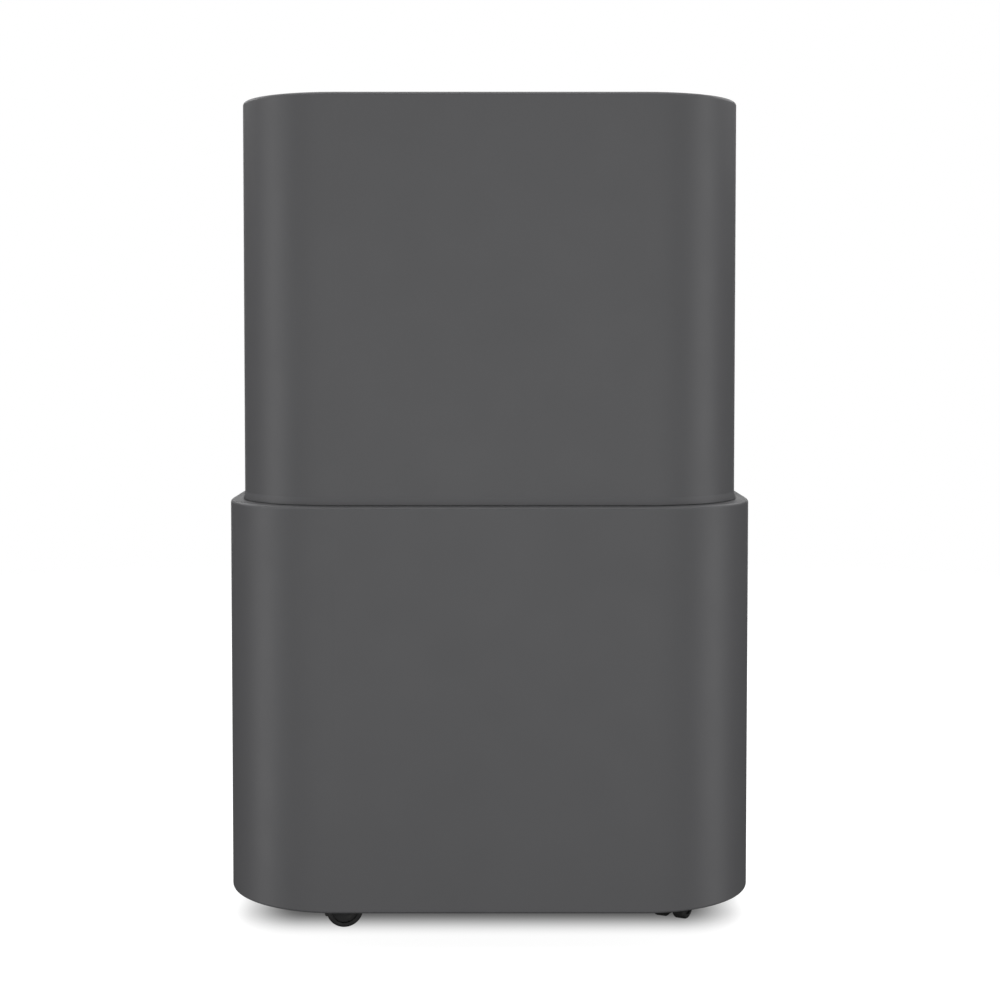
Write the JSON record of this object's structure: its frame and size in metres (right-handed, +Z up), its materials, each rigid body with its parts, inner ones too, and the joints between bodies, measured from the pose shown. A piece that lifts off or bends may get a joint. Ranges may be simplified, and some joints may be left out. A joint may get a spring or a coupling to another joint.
{
  "type": "dehumidifier",
  "caption": "Free-standing compressor dehumidifier: rounded upper body in a wider lower body with a pull-out water tank, top air outlet flap, rear filter and swivel casters.",
  "frame": {"origin": "on the floor under the middle of the plan outline", "axes": "+X to the right as seen from the front, +Y to the rear (intake side), +Z up"},
  "size_m": [0.35, 0.252, 0.554],
  "materials": {
    "shell_dark": "satin",
    "deck_dark": "satin",
    "panel_gloss": "gloss",
    "button_dark": "satin",
    "lens_smoke": "gloss",
    "grille_dark": "matte",
    "filter_net": "matte",
    "tank_clear": "gloss",
    "tank_lid": "satin",
    "bail_grey": "satin",
    "float_white": "matte",
    "magnet": "satin",
    "steel_zinc": "satin",
    "inner_abs": "matte",
    "base_black": "matte",
    "galvanised": "satin",
    "coil_aluminium": "satin",
    "copper": "satin",
    "compressor_black": "gloss",
    "rubber_black": "matte",
    "board_green": "satin",
    "capacitor_can": "satin",
    "fan_plastic": "matte",
    "fan_steel": "polished",
    "motor_steel": "satin",
    "caster_black": "satin",
    "wheel_black": "matte",
    "tray_white": "matte"
  },
  "bodies": {
    "cabinet": {"lower_cabinet": "shell_dark", "base_pan": "base_black", "pull_cups": "grille_dark", "front_shell": "shell_dark", "rear_shell": "shell_dark", "screws": "steel_zinc", "grip_cups": "grille_dark", "top_cover": "deck_dark", "outlet_grille": "grille_dark", "louvre_motor": "motor_steel", "control_panel": "panel_gloss", "display_lens": "lens_smoke", "circuit_boards": "board_green", "chassis_deck": "inner_abs", "bulkhead": "inner_abs", "condensate_tray": "tray_white", "drain_outlet": "inner_abs", "drain_hose": "rubber_black", "cord_gland": "rubber_black", "condenser_fins": "coil_aluminium", "evaporator_fins": "coil_aluminium", "coil_tubes": "copper", "compressor": "compressor_black", "compressor_grommets": "rubber_black", "terminal_cover": "inner_abs", "suction_line": "copper", "discharge_pipe": "copper", "liquid_line": "copper", "fan_housing": "inner_abs", "inlet_ring": "inner_abs", "fan_motor": "motor_steel", "electrical_box": "inner_abs", "electrical_box_lid": "inner_abs", "run_capacitor": "capacitor_can", "tank_switch": "inner_abs"},
    "tank": {"tank_face": "shell_dark", "water_tank": "tank_clear", "tank_cover": "tank_lid"},
    "tank_handle": {"tank_bail": "bail_grey"},
    "tank_float": {"float_arm": "float_white", "float_magnet": "magnet"},
    "louvre": {"outlet_louvre": "deck_dark"},
    "fan": {"fan_wheel": "fan_plastic", "fan_shaft": "fan_steel"},
    "filter_cassette": {"intake_grille": "grille_dark", "filter_mesh": "filter_net"},
    "hose_plug": {"drain_plug": "rubber_black"},
    "power_button_cap": {"power_button": "button_dark"},
    "mode_button_cap": {"mode_button": "button_dark"},
    "fan_speed_button_cap": {"fan_speed_button": "button_dark"},
    "timer_button_cap": {"timer_button": "button_dark"},
    "humidity_button_cap": {"humidity_button": "button_dark"},
    "caster_front_left": {"caster_hood_front_left": "caster_black"},
    "wheels_front_left": {"caster_wheels_front_left": "wheel_black"},
    "caster_front_right": {"caster_hood_front_right": "caster_black"},
    "wheels_front_right": {"caster_wheels_front_right": "wheel_black"},
    "caster_rear_left": {"caster_hood_rear_left": "caster_black"},
    "wheels_rear_left": {"caster_wheels_rear_left": "wheel_black"},
    "caster_rear_right": {"caster_hood_rear_right": "caster_black"},
    "wheels_rear_right": {"caster_wheels_rear_right": "wheel_black"}
  },
  "joints": [
    {"name": "tank_slide", "type": "slide", "parent": "cabinet", "child": "tank", "axis": [0, -1, 0], "range_m": [0, 0.16]},
    {"name": "tank_handle_fold", "type": "hinge", "parent": "tank", "child": "tank_handle", "pos_m": [0, -0.064, 0.224], "axis": [1, 0, 0], "range_deg": [0, 90]},
    {"name": "float_rise", "type": "hinge", "parent": "tank", "child": "tank_float", "pos_m": [0.108, -0.022, 0.196], "axis": [-1, 0, 0], "range_deg": [0, 20]},
    {"name": "louvre_open", "type": "hinge", "parent": "cabinet", "child": "louvre", "pos_m": [0, 0.014, 0.5484], "axis": [-1, 0, 0], "range_deg": [0, 80]},
    {"name": "fan_spin", "type": "hinge", "parent": "cabinet", "child": "fan", "pos_m": [0, -0.014, 0.401], "axis": [0, -1, 0], "continuous": true},
    {"name": "filter_slide", "type": "slide", "parent": "cabinet", "child": "filter_cassette", "axis": [0, 1, 0], "range_m": [0, 0.04]},
    {"name": "plug_pull", "type": "slide", "parent": "cabinet", "child": "hose_plug", "axis": [0, 1, 0], "range_m": [0, 0.02]},
    {"name": "power_button_press", "type": "slide", "parent": "cabinet", "child": "power_button_cap", "axis": [0, 0, -1], "range_m": [0, 0.0008], "stiffness_N_per_m": 400, "springref_m": -0.001},
    {"name": "mode_button_press", "type": "slide", "parent": "cabinet", "child": "mode_button_cap", "axis": [0, 0, -1], "range_m": [0, 0.0008], "stiffness_N_per_m": 400, "springref_m": -0.001},
    {"name": "fan_speed_button_press", "type": "slide", "parent": "cabinet", "child": "fan_speed_button_cap", "axis": [0, 0, -1], "range_m": [0, 0.0008], "stiffness_N_per_m": 400, "springref_m": -0.001},
    {"name": "timer_button_press", "type": "slide", "parent": "cabinet", "child": "timer_button_cap", "axis": [0, 0, -1], "range_m": [0, 0.0008], "stiffness_N_per_m": 400, "springref_m": -0.001},
    {"name": "humidity_button_press", "type": "slide", "parent": "cabinet", "child": "humidity_button_cap", "axis": [0, 0, -1], "range_m": [0, 0.0008], "stiffness_N_per_m": 400, "springref_m": -0.001},
    {"name": "swivel_front_left", "type": "hinge", "parent": "cabinet", "child": "caster_front_left", "pos_m": [-0.118, -0.065, 0.04], "axis": [0, 0, 1], "continuous": true},
    {"name": "roll_front_left", "type": "hinge", "parent": "caster_front_left", "child": "wheels_front_left", "pos_m": [-0.09929, -0.0617, 0.0125], "axis": [-0.1736, 0.9848, 0], "continuous": true},
    {"name": "swivel_front_right", "type": "hinge", "parent": "cabinet", "child": "caster_front_right", "pos_m": [0.118, -0.065, 0.04], "axis": [0, 0, 1], "continuous": true},
    {"name": "roll_front_right", "type": "hinge", "parent": "caster_front_right", "child": "wheels_front_right", "pos_m": [0.12603, -0.04778, 0.0125], "axis": [-0.9063, 0.4226, 0], "continuous": true},
    {"name": "swivel_rear_left", "type": "hinge", "parent": "cabinet", "child": "caster_rear_left", "pos_m": [-0.118, 0.065, 0.04], "axis": [0, 0, 1], "continuous": true},
    {"name": "roll_rear_left", "type": "hinge", "parent": "caster_rear_left", "child": "wheels_rear_left", "pos_m": [-0.10344, 0.07721, 0.0125], "axis": [-0.6428, 0.766, 0], "continuous": true},
    {"name": "swivel_rear_right", "type": "hinge", "parent": "cabinet", "child": "caster_rear_right", "pos_m": [0.118, 0.065, 0.04], "axis": [0, 0, 1], "continuous": true},
    {"name": "roll_rear_right", "type": "hinge", "parent": "caster_rear_right", "child": "wheels_rear_right", "pos_m": [0.1147, 0.08371, 0.0125], "axis": [-0.9848, -0.1736, 0], "continuous": true}
  ]
}
